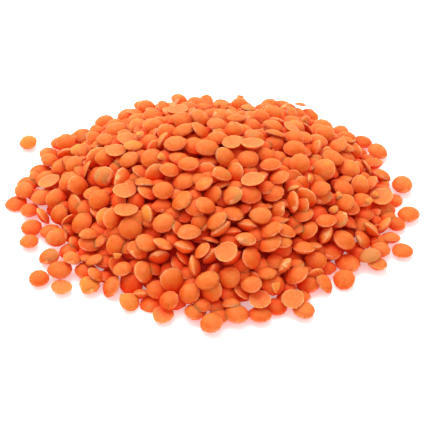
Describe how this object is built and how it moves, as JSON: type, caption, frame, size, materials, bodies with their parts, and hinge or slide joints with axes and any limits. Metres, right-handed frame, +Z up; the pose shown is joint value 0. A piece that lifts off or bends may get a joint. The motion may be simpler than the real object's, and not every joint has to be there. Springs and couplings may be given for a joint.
{
  "type": "heap of dry red lentils",
  "caption": "Low oval heap of loose dry red lentils on a bare surface, small orange lens shapes piled unevenly, with one lying just apart.",
  "frame": {"origin": "on the surface the heap lies on, near the middle of its base", "axes": "+Z up; +X along the heap's longer way, to the right in the picture; +Y away from the picture's viewer"},
  "size_m": [0.0811, 0.07, 0.0158],
  "materials": {
    "lentils": "matt orange to deep orange, a little waxy, with paler chips",
    "stray_lentil": "matt pale orange"
  },
  "bodies": {
    "root": {"lentil_heap": "lentils", "stray_lentil": "stray_lentil"}
  },
  "joints": []
}
